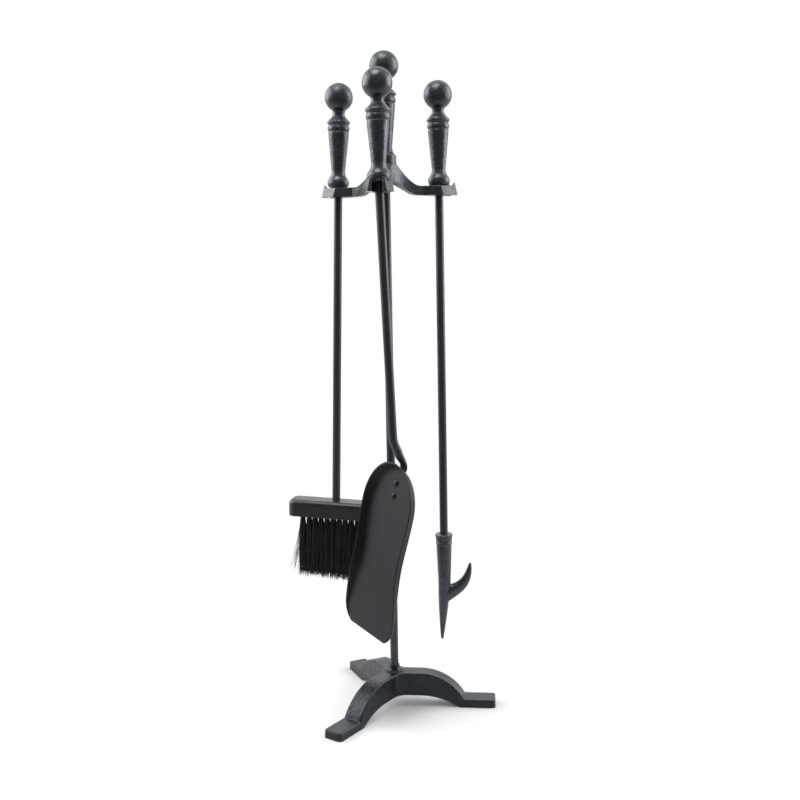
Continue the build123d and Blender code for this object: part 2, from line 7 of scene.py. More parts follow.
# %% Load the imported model
from math import cos, radians, sin

import bpy
from mathutils import Matrix, Vector


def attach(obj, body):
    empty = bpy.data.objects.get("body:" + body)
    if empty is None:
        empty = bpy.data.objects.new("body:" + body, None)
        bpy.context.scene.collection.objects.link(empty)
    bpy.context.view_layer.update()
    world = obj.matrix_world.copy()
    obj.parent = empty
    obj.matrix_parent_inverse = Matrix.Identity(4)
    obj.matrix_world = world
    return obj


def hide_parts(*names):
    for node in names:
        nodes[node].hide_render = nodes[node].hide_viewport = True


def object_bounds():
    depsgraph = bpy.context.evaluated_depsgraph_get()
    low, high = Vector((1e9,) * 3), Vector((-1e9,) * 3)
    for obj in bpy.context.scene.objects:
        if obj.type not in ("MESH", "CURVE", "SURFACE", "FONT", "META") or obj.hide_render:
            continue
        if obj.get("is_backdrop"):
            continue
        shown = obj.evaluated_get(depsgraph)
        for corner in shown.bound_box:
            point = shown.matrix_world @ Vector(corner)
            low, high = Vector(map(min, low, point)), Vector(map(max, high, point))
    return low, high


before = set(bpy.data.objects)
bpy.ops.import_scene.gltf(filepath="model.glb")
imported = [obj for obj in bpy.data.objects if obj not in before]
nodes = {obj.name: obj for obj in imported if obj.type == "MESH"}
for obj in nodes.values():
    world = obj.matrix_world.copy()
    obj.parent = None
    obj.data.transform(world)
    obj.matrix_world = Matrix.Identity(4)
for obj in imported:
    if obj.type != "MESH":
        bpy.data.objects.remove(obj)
cad_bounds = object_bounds()

# %% [markdown]
# Every finish is a small tree of nodes, and so is the brush. Written out link by link, such trees
# are hard to read, so one helper adds a node, sets its options, and then fills its inputs: a
# socket is linked, anything else is set as a value. Inputs go by name or by number, because some
# nodes have several inputs of one name.

# %% Helper: add a node


def add_node(tree, kind, inputs=None, **settings):
    node = tree.nodes.new(kind)
    for key, value in settings.items():
        setattr(node, key, value)
    for key, value in (inputs or {}).items():
        if isinstance(value, bpy.types.NodeSocket):
            tree.links.new(value, node.inputs[key])
        else:
            node.inputs[key].default_value = value
    return node


def new_finish(name):
    """A material with a Principled shader; gives the material, its tree and the shader."""
    material = bpy.data.materials.new(name)
    material.use_nodes = True
    return material, material.node_tree, material.node_tree.nodes["Principled BSDF"]


print("helpers ready in Blender", bpy.app.version_string)

# %% [markdown]
# Paint on iron is never one flat colour. Its grain could be an image, but noise in Object
# coordinates needs no unwrapping, keeps its real size, because one unit here is one metre, and
# moves with a tool that is lifted off. Each pattern is one noise, squeezed or turned by a Mapping
# node where the real grain runs in one direction.

# %% Helpers: grain, range and tint


def grain(tree, scale, stretch=(1, 1, 1), turn=(0, 0, 0), detail=3.0, roughness=0.5):
    place = add_node(tree, "ShaderNodeTexCoord").outputs["Object"]
    turned = add_node(tree, "ShaderNodeMapping", {"Vector": place, "Scale": stretch, "Rotation": turn})
    noise = add_node(
        tree, "ShaderNodeTexNoise",
        {"Vector": turned.outputs["Vector"], "Scale": scale, "Detail": detail, "Roughness": roughness},
    )
    return noise.outputs["Fac"]


def spread(tree, value, low, high, start=0.3, end=0.7):
    """Turns the useful middle of a noise into a range of numbers."""
    return add_node(tree, "ShaderNodeMapRange", {0: value, 1: start, 2: end, 3: low, 4: high}).outputs[0]


def tint(tree, value, dark, light):
    """Blends from one colour to another; each is a linear RGB triple or a socket."""
    blend = {0: value}
    for place, colour in ((6, dark), (7, light)):
        blend[place] = colour if isinstance(colour, bpy.types.NodeSocket) else (*colour, 1)
    return add_node(tree, "ShaderNodeMix", blend, data_type="RGBA").outputs[2]


print("helpers: grain, spread, tint")

# %% [markdown]
# The edges of the castings and of the sheet are a little round, more than their CAD solids say.
# Real fillets would be one way; a Bevel node rounds the shading alone, and leaves the solids as
# they are. Fine relief then goes on top as a chain of bumps. Where the rounded normal leans away
# from the true one there is an edge, and there the colour is painted paler: partly paint rubbed
# thin, partly a painted highlight for the light lines along the edges.

# %% Helpers: relief, and rubbed and lit edges
BEVEL_SAMPLES = 6
EDGE_MATCH = 0.90
FLAT_MATCH = 0.995
LEAST_RUBBED_AND_LIT = 0.25


def relief(tree, shader, bumps, edge_radius):
    """Chains bumps, each (height, depth in metres, strength), over rounded edges."""
    rounded = add_node(tree, "ShaderNodeBevel", {"Radius": edge_radius}, samples=BEVEL_SAMPLES)
    normal = rounded.outputs["Normal"]
    for height, depth, strength in bumps:
        bump = {"Height": height, "Distance": depth, "Strength": strength, "Normal": normal}
        normal = add_node(tree, "ShaderNodeBump", bump).outputs["Normal"]
    tree.links.new(normal, shader.inputs["Normal"])


def rubbed_and_lit_edge(tree, radius, patches):
    """Mask of the paler edges, part rubbed paint and part painted highlight: 1 on an edge and 0
    on a flat face, broken up by patches of noise.
    """
    rounded = add_node(tree, "ShaderNodeBevel", {"Radius": radius}, samples=BEVEL_SAMPLES)
    true = add_node(tree, "ShaderNodeNewGeometry").outputs["Normal"]
    normals = {0: rounded.outputs["Normal"], 1: true}
    match = add_node(tree, "ShaderNodeVectorMath", normals, operation="DOT_PRODUCT")
    edge = spread(tree, match.outputs["Value"], 1.0, 0.0, start=EDGE_MATCH, end=FLAT_MATCH)
    broken = spread(tree, patches, LEAST_RUBBED_AND_LIT, 1.0)
    return add_node(tree, "ShaderNodeMath", {0: edge, 1: broken}, operation="MULTIPLY").outputs[0]


print("helpers: relief, rubbed_and_lit_edge")

# %% [markdown]
# The handles, the hanger, the tripod and the tip of the poker are sand castings under satin black
# paint. Close up the skin is finely pebbled, the gloss wanders from place to place, and the edges
# are painted a little paler, partly for rubbed paint and partly as a painted highlight. A fine
# noise gives the pebbles, a middling one the waves of the sand mould, and a broad one the
# wandering gloss. The tripod is the coarsest casting, with rounder edges, so it has a finish of
# its own, in a much darker copy of the paint that is painted shade.

# %% Cast iron finish
COOL_SHEEN = (0.86, 0.92, 1.0, 1.0)
# The paler colour of the edges: partly rubbed paint, partly a painted highlight
RUBBED_AND_LIT_IRON = (0.110, 0.116, 0.126)
PEBBLE_SCALE, PEBBLE_DEPTH, PEBBLE_STRENGTH = 330.0, 0.0006, 0.7
WAVE_SCALE, WAVE_DEPTH, WAVE_STRENGTH = 130.0, 0.0012, 0.5
CAST_PATCH_SCALE = 34.0


def cast_iron_finish(name, dark, light, edge_radius, gleam, gloss):
    material, tree, shader = new_finish(name)
    pebbles = grain(tree, PEBBLE_SCALE, detail=4.0, roughness=0.6)
    waves = grain(tree, WAVE_SCALE, detail=3.0)
    patches = grain(tree, CAST_PATCH_SCALE, detail=4.0)
    skin = tint(tree, spread(tree, pebbles, 0.0, 1.0), dark, light)
    # Edges painted paler: partly paint rubbed thin, partly a painted highlight along the edges
    colour = tint(tree, rubbed_and_lit_edge(tree, edge_radius, patches), skin, RUBBED_AND_LIT_IRON)
    tree.links.new(colour, shader.inputs["Base Color"])
    tree.links.new(spread(tree, patches, *gloss), shader.inputs["Roughness"])
    shader.inputs["Specular IOR Level"].default_value = gleam
    shader.inputs["Specular Tint"].default_value = COOL_SHEEN
    mould = (waves, WAVE_DEPTH, WAVE_STRENGTH)
    sand = (pebbles, PEBBLE_DEPTH, PEBBLE_STRENGTH)
    relief(tree, shader, [mould, sand], edge_radius)
    return material


cast_paint = cast_iron_finish(
    "cast_iron_black_paint", dark=(0.019, 0.021, 0.026), light=(0.044, 0.049, 0.059),
    edge_radius=0.0011, gleam=0.62, gloss=(0.22, 0.34),
)
# A much darker copy of the same cast paint, as painted shade on the tripod
tripod_shaded_paint = cast_iron_finish(
    "tripod_shaded_black_paint", dark=(0.004, 0.005, 0.007), light=(0.013, 0.015, 0.019),
    edge_radius=0.0018, gleam=0.32, gloss=(0.20, 0.32),
)
print("made", cast_paint.name, "and", tripod_shaded_paint.name)

# %% [markdown]
# The post and the shafts are drawn steel bar. Drawing leaves faint lines along the bar, so this
# noise is stretched forty times along Z. The paint lies smoother than on the castings, which
# gives the bars their narrow bright stripe.

# %% Round bar finish
BAR_DARK, BAR_LIGHT = (0.022, 0.025, 0.031), (0.038, 0.043, 0.052)
BAR_GLOSS = (0.26, 0.36)
DRAWN_SCALE, DRAWN_STRETCH = 700.0, (1, 1, 0.025)
BAR_PEEL_SCALE, BAR_PATCH_SCALE = 420.0, 22.0
BAR_RELIEF, BAR_RELIEF_STRENGTH = 0.0001, 0.3
BAR_GLEAM = 0.45
BAR_EDGE = 0.0005


def bar_finish(name):
    material, tree, shader = new_finish(name)
    drawn = grain(tree, DRAWN_SCALE, stretch=DRAWN_STRETCH)
    peel = grain(tree, BAR_PEEL_SCALE, detail=2.0)
    patches = grain(tree, BAR_PATCH_SCALE)
    colour = tint(tree, spread(tree, drawn, 0.0, 1.0), BAR_DARK, BAR_LIGHT)
    tree.links.new(colour, shader.inputs["Base Color"])
    tree.links.new(spread(tree, patches, *BAR_GLOSS), shader.inputs["Roughness"])
    shader.inputs["Specular IOR Level"].default_value = BAR_GLEAM
    shader.inputs["Specular Tint"].default_value = COOL_SHEEN
    bumps = [(height, BAR_RELIEF, BAR_RELIEF_STRENGTH) for height in (drawn, peel)]
    relief(tree, shader, bumps, BAR_EDGE)
    return material


bar_paint = bar_finish("round_bar_black_paint")
print("made", bar_paint.name)

# %% [markdown]
# The pan is pressed from thin sheet, and bends softly from its floor into its walls. Its paint is
# the most even on the set, a cool charcoal, with a slight orange peel, a fine speckle and a few
# broad clouds where the spray lay thicker. The rivets take the same paint, a little glossier.

# %% Sheet and rivet finish
CLOUD_SCALE = 16.0
PEEL_SCALE, PEEL_DEPTH, PEEL_STRENGTH = 650.0, 0.0001, 0.3
SPECKLE_SCALE, SPECKLE_DEPTH, SPECKLE_STRENGTH = 1500.0, 0.00005, 0.25
FLECK_LIGHTER, FLECK_MOST = 1.5, 0.5
FLECK_FROM, FLECK_TO = 0.5, 0.8
SHEET_GLEAM = 0.19


def sheet_finish(name, dark, light, gloss, edge_radius):
    material, tree, shader = new_finish(name)
    clouds = grain(tree, CLOUD_SCALE, detail=4.0, roughness=0.55)
    peel = grain(tree, PEEL_SCALE)
    speckle = grain(tree, SPECKLE_SCALE, detail=2.0)
    clouded = tint(tree, spread(tree, clouds, 0.0, 1.0), dark, light)
    flecks = [channel * FLECK_LIGHTER for channel in light]
    flecked = spread(tree, speckle, 0.0, FLECK_MOST, FLECK_FROM, FLECK_TO)
    colour = tint(tree, flecked, clouded, flecks)
    tree.links.new(colour, shader.inputs["Base Color"])
    tree.links.new(spread(tree, clouds, *gloss), shader.inputs["Roughness"])
    shader.inputs["Specular IOR Level"].default_value = SHEET_GLEAM
    shader.inputs["Specular Tint"].default_value = COOL_SHEEN
    bumps = [(peel, PEEL_DEPTH, PEEL_STRENGTH), (speckle, SPECKLE_DEPTH, SPECKLE_STRENGTH)]
    relief(tree, shader, bumps, edge_radius)
    return material


pan_paint = sheet_finish(
    "pan_sheet_black_paint", dark=(0.007, 0.0073, 0.0085), light=(0.011, 0.0115, 0.0135),
    gloss=(0.40, 0.48), edge_radius=0.003,
)
rivet_paint = sheet_finish(
    "rivet_black_paint", dark=(0.008, 0.009, 0.010), light=(0.016, 0.017, 0.019),
    gloss=(0.26, 0.34), edge_radius=0.0004,
)
print("made", pan_paint.name, "and", rivet_paint.name)

# %% [markdown]
# The bolt, the washers and the stud are bright zinc. The bolt and washers only show from below, and
# the stud not at all, but a set that is turned over or taken apart should still look right: a
# metallic shader, with blotchy crystals that vary its colour, gloss and relief.

# %% Zinc finish
ZINC_DARK, ZINC_LIGHT = (0.42, 0.42, 0.40), (0.60, 0.60, 0.57)
ZINC_GLOSS = (0.28, 0.48)
CRYSTAL_SCALE, CRYSTAL_DEPTH, CRYSTAL_STRENGTH = 500.0, 0.0001, 0.25
ZINC_EDGE = 0.0003


def zinc_finish(name):
    material, tree, shader = new_finish(name)
    crystals = grain(tree, CRYSTAL_SCALE, detail=5.0, roughness=0.65)
    colour = tint(tree, spread(tree, crystals, 0.0, 1.0), ZINC_DARK, ZINC_LIGHT)
    tree.links.new(colour, shader.inputs["Base Color"])
    tree.links.new(spread(tree, crystals, *ZINC_GLOSS), shader.inputs["Roughness"])
    shader.inputs["Metallic"].default_value = 1.0
    relief(tree, shader, [(crystals, CRYSTAL_DEPTH, CRYSTAL_STRENGTH)], ZINC_EDGE)
    return material


zinc = zinc_finish("fastener_zinc_plate")
print("made", zinc.name)

# %% [markdown]
# The block of the brush is wood under semi-gloss black. The grain still shows through the paint
# as long shallow furrows, so its noise is stretched along the block, which hangs turned a few
# degrees about Z.

# %% Painted wood finish
WOOD_DARK, WOOD_LIGHT = (0.010, 0.011, 0.013), (0.021, 0.022, 0.026)
# The paler colour of the block's edges: partly rubbed paint, partly a painted highlight
RUBBED_AND_LIT_WOOD = (0.045, 0.046, 0.050)
WOOD_GLOSS = (0.28, 0.40)
BLOCK_TURN = radians(-6.5)
FURROW_SCALE, FURROW_STRETCH = 420.0, (0.06, 1, 1)
FURROW_DEPTH, FURROW_STRENGTH = 0.0003, 0.35
WOOD_PATCH_SCALE = 40.0
WOOD_GLEAM = 0.5
WOOD_EDGE = 0.0012


def painted_wood_finish(name):
    material, tree, shader = new_finish(name)
    along_block = (0, 0, -BLOCK_TURN)
    furrows = grain(tree, FURROW_SCALE, FURROW_STRETCH, along_block, detail=4.0, roughness=0.6)
    patches = grain(tree, WOOD_PATCH_SCALE)
    skin = tint(tree, spread(tree, furrows, 0.0, 1.0), WOOD_DARK, WOOD_LIGHT)
    # Edges painted paler: partly paint rubbed thin, partly a painted highlight along the edges
    colour = tint(tree, rubbed_and_lit_edge(tree, WOOD_EDGE, patches), skin, RUBBED_AND_LIT_WOOD)
    tree.links.new(colour, shader.inputs["Base Color"])
    tree.links.new(spread(tree, patches, *WOOD_GLOSS), shader.inputs["Roughness"])
    shader.inputs["Specular IOR Level"].default_value = WOOD_GLEAM
    relief(tree, shader, [(furrows, FURROW_DEPTH, FURROW_STRENGTH)], WOOD_EDGE)
    return material


block_paint = painted_wood_finish("block_black_paint")
print("made", block_paint.name)

# %% [markdown]
# The fibres are matt black with a greasy sheen. Each one takes its shade from a random number
# that the fibre tree below keeps on it, so that single fibres stand out where they cross. A few
# strays at the ends of the brush are painted pale grey, a painted highlight for the light that
# shines through them; they have the highest numbers.

# %% Fibre finish
FIBRE_DARK, FIBRE_LIGHT = (0.008, 0.008, 0.011), (0.034, 0.034, 0.040)
BACKLIT_PALE = (0.46, 0.45, 0.44)
FIBRE_GLOSS = (0.42, 0.62)
STRAY_SHADE = 1.0
PLAIN_SHADE = 0.8
FIBRE_GLEAM = 0.4


def fibre_finish(name):
    material, tree, shader = new_finish(name)
    shade = add_node(tree, "ShaderNodeAttribute", attribute_name="shade").outputs["Fac"]
    black = tint(tree, shade, FIBRE_DARK, FIBRE_LIGHT)
    backlit_pale = spread(tree, shade, 0.0, 1.0, PLAIN_SHADE, STRAY_SHADE)
    # The strays are painted pale grey: a painted highlight for light shining through them
    tree.links.new(tint(tree, backlit_pale, black, BACKLIT_PALE), shader.inputs["Base Color"])
    tree.links.new(spread(tree, shade, *FIBRE_GLOSS, 0.0, 1.0), shader.inputs["Roughness"])
    shader.inputs["Specular IOR Level"].default_value = FIBRE_GLEAM
    return material


fibre_black = fibre_finish("fibre_black")
print("made", fibre_black.name)

# %% [markdown]
# Each CAD node now takes its finish. Its shape is right as it is, so only the material in its
# slot changes.

# %% Dress the CAD nodes
DRESS = {
    cast_paint: (
        "hanger", "stand_handle", "brush_handle", "shovel_handle", "poker_handle", "poker_tip",
    ),
    tripod_shaded_paint: ("base_casting",),
    bar_paint: ("post", "brush_shaft", "brush_sleeve", "shovel_shaft", "poker_shaft"),
    pan_paint: ("shovel_pan",),
    rivet_paint: ("upper_shovel_rivet", "lower_shovel_rivet"),
    zinc: ("top_stud", "base_flat_washer", "base_lock_washer", "base_bolt"),
    block_paint: ("brush_block",),
    fibre_black: ("brush_bristles",),
}
for finish, names in DRESS.items():
    for name in names:
        slots = nodes[name].data.materials
        slots.clear()
        slots.append(finish)
print("dressed", sum(len(names) for names in DRESS.values()), "nodes")

# %% [markdown]
# The brush has four rows of twelve tufts, and hangs a little out of plumb. Its fibres are easiest
# to grow in the block's own axes, from the middle of the underside of the block. This matrix
# then carries them to where the block hangs.

# %% Where the underside of the block is
BRUSH_SEAT = Vector((-0.05268, 0.03755, 0.6000))
BRUSH_LEAN = radians(2.3)
BRUSH_LEAN_WAY = radians(150.0)
UNDERSIDE = -0.3864

brush_frame = (
    Matrix.Translation(BRUSH_SEAT)
    @ Matrix.Rotation(BRUSH_LEAN_WAY, 4, "Z")
    @ Matrix.Rotation(-BRUSH_LEAN, 4, "Y")
    @ Matrix.Rotation(BLOCK_TURN - BRUSH_LEAN_WAY, 4, "Z")
)
underside = brush_frame @ Matrix.Translation((0, 0, UNDERSIDE))
print("underside of the block at", [round(along, 4) for along in underside.translation])

# %% [markdown]
# Two thousand fibres follow one rule, so Geometry Nodes grow them. Hair curves could, too, but
# they don't export. A tree of this kind needs arithmetic, random numbers, and values that a
# point keeps for later; these helpers name those steps.

# %% Helpers for the fibre tree


def maths(tree, operation, first, second=0.0):
    return add_node(tree, "ShaderNodeMath", {0: first, 1: second}, operation=operation).outputs[0]


def add_vectors(tree, first, second):
    return add_node(tree, "ShaderNodeVectorMath", {0: first, 1: second}, operation="ADD").outputs[0]


def scaled(tree, vector, factor):
    given = {0: vector, "Scale": factor}
    return add_node(tree, "ShaderNodeVectorMath", given, operation="SCALE").outputs[0]


def joined(tree, x, y, z=0.0):
    return add_node(tree, "ShaderNodeCombineXYZ", {0: x, 1: y, 2: z}).outputs[0]


def chance(tree, seed, salt, low, high):
    """A random number for each point; the salt keeps one draw apart from the next."""
    given = {2: low, 3: high, "Seed": maths(tree, "ADD", seed, salt)}
    return add_node(tree, "FunctionNodeRandomValue", given, data_type="FLOAT").outputs[1]


def keep(tree, geometry, name, value, kind="FLOAT_VECTOR"):
    given = {"Geometry": geometry, "Name": name, "Value": value}
    options = {"data_type": kind, "domain": "POINT"}
    return add_node(tree, "GeometryNodeStoreNamedAttribute", given, **options).outputs[0]


def recall(tree, name, kind="FLOAT_VECTOR"):
    return add_node(tree, "GeometryNodeInputNamedAttribute", {"Name": name}, data_type=kind).outputs[0]


print("helpers: maths, vectors, chance, keep and recall")

# %% [markdown]
# A grid gives the holes that the tufts are set in, with slanted rows, and each hole is copied once
# for every fibre. A fibre's place in its hole is a random point of a disc. Its tip leans out with
# its tuft and in with the whole brush, and wanders a little. At the two ends of the brush a few
# strays lean far out.

# %% One point for each fibre
# The salts of the random draws, each a number of its own
ANGLE, SHARE, LEAN_X, LEAN_Y, BOW_X, BOW_Y, SHADE, LENGTH, STRAY, STRAY_FAN = range(1, 11)
END_FROM = 0.45


def span(tree, given, way):
    """From the first hole of a row to the last."""
    gaps = maths(tree, "SUBTRACT", given["Tufts " + way], 1.0)
    return maths(tree, "MULTIPLY", given["Pitch " + way], gaps)


def hole_points(tree, given):
    spans = {0: span(tree, given, "Long"), 1: span(tree, given, "Wide")}
    grid = {**spans, 2: given["Tufts Long"], 3: given["Tufts Wide"]}
    grid = add_node(tree, "GeometryNodeMeshGrid", grid).outputs["Mesh"]
    holes = add_node(tree, "GeometryNodeMeshToPoints", {0: grid}).outputs[0]
    place = add_node(tree, "GeometryNodeInputPosition").outputs[0]
    row_y = add_node(tree, "ShaderNodeSeparateXYZ", {0: place}).outputs[1]
    slanted = joined(tree, maths(tree, "MULTIPLY", row_y, given["Slant"]), 0.0)
    holes = add_node(tree, "GeometryNodeSetPosition", {0: holes, "Offset": slanted}).outputs[0]
    holes = keep(tree, holes, "hole", add_vectors(tree, place, slanted))
    copies = {0: holes, 2: given["Fibres"]}
    return add_node(tree, "GeometryNodeDuplicateElements", copies, domain="POINT").outputs[0]


def place_in_hole(tree, given):
    angle = chance(tree, given["Seed"], ANGLE, 0.0, radians(360))
    share = maths(tree, "SQRT", chance(tree, given["Seed"], SHARE, 0.0, 1.0))
    reach = maths(tree, "MULTIPLY", given["Tuft Radius"], share)
    return joined(
        tree,
        maths(tree, "MULTIPLY", reach, maths(tree, "COSINE", angle)),
        maths(tree, "MULTIPLY", reach, maths(tree, "SINE", angle)),
    )


def stray_share(tree, given):
    """1 for the few strays in the outermost tufts at the two ends, 0 for every other fibre."""
    hole_x = add_node(tree, "ShaderNodeSeparateXYZ", {0: recall(tree, "hole")}).outputs[0]
    tufts_in = maths(tree, "MULTIPLY", given["Tufts Long"], END_FROM)
    last_but_one = maths(tree, "MULTIPLY", given["Pitch Long"], tufts_in)
    at_end = maths(tree, "GREATER_THAN", maths(tree, "ABSOLUTE", hole_x), last_but_one)
    picked = maths(tree, "LESS_THAN", chance(tree, given["Seed"], STRAY, 0.0, 1.0), given["Strays"])
    return maths(tree, "MULTIPLY", at_end, picked)


def random_shift(tree, given, salts, most):
    """A random shift in X and Y, as a share of the wander."""
    x, y = [chance(tree, given["Seed"], salt, -most, most) for salt in salts]
    return scaled(tree, joined(tree, x, y), given["Wander"])


print("fibres are placed by hole_points, place_in_hole and stray_share")

# %% [markdown]
# One fibre is a line of unit length with a three-sided section, thinner at its tip. It is put on
# every point and stretched to that point's length, and once the copies are real meshes each is
# bent by what its point has kept: the tuft opens soon below its hole, the lean grows along the
# fibre, and the bow is widest half way.

# %% One fibre, and how it bends
FIBRE_POINTS = 5
FIBRE_SIDES = 3
TIP_THICKNESS = 0.55
LEAN_POWER = 1.2
BELLY_TO_ONE = 4.0


def unit_fibre(tree, given):
    line = add_node(tree, "GeometryNodeCurvePrimitiveLine", {1: (0, 0, -1)}).outputs[0]
    line = add_node(tree, "GeometryNodeResampleCurve", {0: line, "Count": FIBRE_POINTS}).outputs[0]
    along = add_node(tree, "GeometryNodeSplineParameter").outputs["Factor"]
    line = keep(tree, line, "along", along, "FLOAT")
    taper = spread(tree, along, 1.0, TIP_THICKNESS, 0.0, 1.0)
    section = add_node(tree, "GeometryNodeCurvePrimitiveCircle", {0: FIBRE_SIDES}).outputs[0]
    thickness = maths(tree, "MULTIPLY", given["Fibre Radius"], taper)
    swept = {0: line, 1: section, "Scale": thickness, "Fill Caps": True}
    return add_node(tree, "GeometryNodeCurveToMesh", swept).outputs[0]


def fibre_length(tree, given):
    hole_x = add_node(tree, "ShaderNodeSeparateXYZ", {0: recall(tree, "hole")}).outputs[0]
    worn = maths(tree, "MULTIPLY", given["Wear"], hole_x)
    uneven = maths(tree, "MULTIPLY", given["Ragged"], chance(tree, given["Seed"], LENGTH, -0.5, 0.5))
    return maths(tree, "ADD", given["Length"], maths(tree, "ADD", worn, uneven))


def bend(tree):
    along = recall(tree, "along", "FLOAT")
    leaning = scaled(tree, recall(tree, "lean"), maths(tree, "POWER", along, LEAN_POWER))
    opening = scaled(tree, recall(tree, "opening"), maths(tree, "SQRT", along))
    belly = maths(tree, "MULTIPLY", along, maths(tree, "SUBTRACT", 1.0, along))
    bowed = scaled(tree, recall(tree, "bow"), maths(tree, "MULTIPLY", belly, BELLY_TO_ONE))
    return add_vectors(tree, leaning, add_vectors(tree, opening, bowed))


print("a fibre is made by unit_fibre, fibre_length and bend")

# %% [markdown]
# The tree itself strings these steps together. Its sizes are inputs with names, in metres, so
# that another brush can be grown by changing numbers alone.

# %% The fibre tree
BRUSH_SIZES = {
    "Tufts Long": 12, "Tufts Wide": 4, "Fibres": 44, "Pitch Long": 0.0075, "Pitch Wide": 0.0058,
    "Slant": -0.27, "Tuft Radius": 0.0027, "Fibre Radius": 0.00032, "Length": 0.0724, "Ragged": 0.0075,
    "Wear": 0.04, "Fan": -0.01, "Splay": 0.7, "Wander": 0.0022, "Strays": 0.26, "Stray Reach": 0.38,
    "Seed": 7,
}
LEAST_STRAY = 0.25
BOW_SHARE = 0.7


def fibre_tree():
    tree = bpy.data.node_groups.new("brush_fibres", "GeometryNodeTree")
    for name, size in BRUSH_SIZES.items():
        kind = "NodeSocketInt" if isinstance(size, int) else "NodeSocketFloat"
        tree.interface.new_socket(name, in_out="INPUT", socket_type=kind)
    tree.interface.new_socket("Geometry", in_out="OUTPUT", socket_type="NodeSocketGeometry")
    given = add_node(tree, "NodeGroupInput").outputs

    points = hole_points(tree, given)
    offset = place_in_hole(tree, given)
    stray = stray_share(tree, given)
    stray_fan = maths(tree, "MULTIPLY", stray, chance(tree, given["Seed"], STRAY_FAN, LEAST_STRAY, 1.0))
    fan = maths(tree, "ADD", given["Fan"], maths(tree, "MULTIPLY", given["Stray Reach"], stray_fan))
    fanned = scaled(tree, recall(tree, "hole"), fan)
    lean = add_vectors(tree, fanned, random_shift(tree, given, (LEAN_X, LEAN_Y), 1.0))
    # A stray gets shade 1, which paints it pale grey as a painted highlight
    shade = maths(tree, "MAXIMUM", stray, chance(tree, given["Seed"], SHADE, 0.0, PLAIN_SHADE))
    points = keep(tree, points, "lean", lean)
    points = keep(tree, points, "opening", scaled(tree, offset, given["Splay"]))
    points = keep(tree, points, "bow", random_shift(tree, given, (BOW_X, BOW_Y), BOW_SHARE))
    points = keep(tree, points, "shade", shade, "FLOAT")
    points = add_node(tree, "GeometryNodeSetPosition", {0: points, "Offset": offset}).outputs[0]

    stretch = joined(tree, 1.0, 1.0, fibre_length(tree, given))
    copies = {0: points, "Instance": unit_fibre(tree, given), "Scale": stretch}
    copies = add_node(tree, "GeometryNodeInstanceOnPoints", copies).outputs[0]
    real = add_node(tree, "GeometryNodeRealizeInstances", {0: copies}).outputs[0]
    bent = add_node(tree, "GeometryNodeSetPosition", {0: real, "Offset": bend(tree)}).outputs[0]
    painted = add_node(tree, "GeometryNodeSetMaterial", {0: bent, "Material": fibre_black}).outputs[0]
    add_node(tree, "NodeGroupOutput", {0: painted})
    return tree


brush_tree = fibre_tree()
print("fibre tree:", len(brush_tree.nodes), "nodes")

# %% [markdown]
# A bare object carries the tree as a modifier. The sizes are set by each socket's identifier
# before anything is evaluated. What the modifier makes is then copied into a plain mesh, moved
# under the block, and stands for the plain strands of the CAD brush.

# %% Grow the fibres
carrier = bpy.data.objects.new("fibre_carrier", bpy.data.meshes.new("fibre_carrier"))
growth = carrier.modifiers.new("fibres", "NODES")
growth.node_group = brush_tree
for socket in brush_tree.interface.items_tree:
    if socket.in_out == "INPUT":
        growth[socket.identifier] = BRUSH_SIZES[socket.name]
bpy.context.scene.collection.objects.link(carrier)
evaluated = carrier.evaluated_get(bpy.context.evaluated_depsgraph_get())
fibre_mesh = bpy.data.meshes.new_from_object(evaluated)
fibre_mesh.transform(underside)
carrier.modifiers.remove(growth)
bpy.data.objects.remove(carrier)

fibres = bpy.data.objects.new("brush_fibres", fibre_mesh)
bpy.context.scene.collection.objects.link(fibres)
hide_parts("brush_bristles")
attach(fibres, "brush")
print("fibres:", len(fibre_mesh.polygons), "faces")

# %% [markdown]
# The set stands on a plain pale floor that runs out of the picture. Near the feet the floor is
# matt and takes their soft shadow. Further out it turns into a plain white glow for the camera
# and for reflections, so that no horizon shows, and no more light falls on the iron. In
# reflections it dims towards the front, as the room does.

# %% Floor
FLOOR_HALF = 6.0
SHADOW_TO = 0.12
GLOW_FROM = 0.36
DIM_FROM = -0.1
DIM_TO = -0.9
DIM_LEVEL = 0.10
NEAR_GLOW = 0.05
FLOOR_GRAIN_SCALE = 60.0
FLOOR_DARK, FLOOR_LIGHT = (0.72, 0.72, 0.72), (0.74, 0.74, 0.74)


